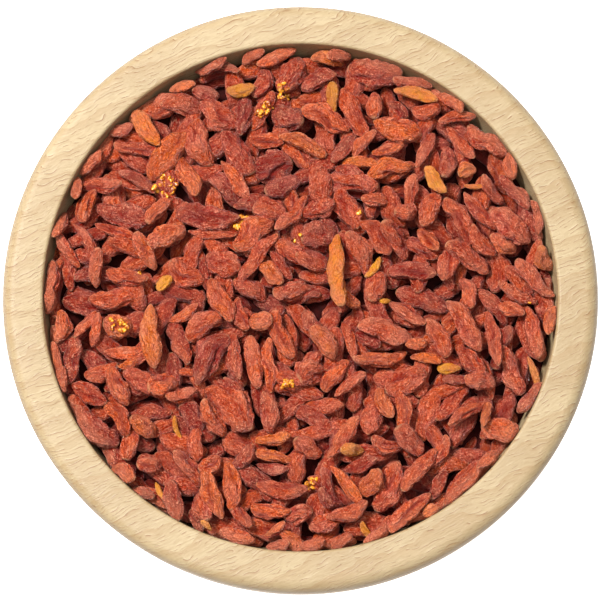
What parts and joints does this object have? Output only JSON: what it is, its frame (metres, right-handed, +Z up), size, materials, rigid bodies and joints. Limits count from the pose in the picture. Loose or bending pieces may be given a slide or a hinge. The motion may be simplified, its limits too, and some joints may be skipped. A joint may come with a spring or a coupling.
{
  "type": "bowl of dried goji berries",
  "caption": "Round turned beech bowl with a thick rounded rim, heaped to the rim with dried red goji berries.",
  "frame": {"origin": "on the table under the middle of the bowl's foot", "axes": "+Z up out of the bowl, +X to the right and +Y to the back as the picture is seen"},
  "size_m": [0.16, 0.16, 0.0631],
  "materials": {
    "beech": "satin, oiled",
    "dried_berries": "wrinkled and matte"
  },
  "bodies": {
    "root": {"bowl": "beech", "goji_berries": "dried_berries"}
  },
  "joints": []
}
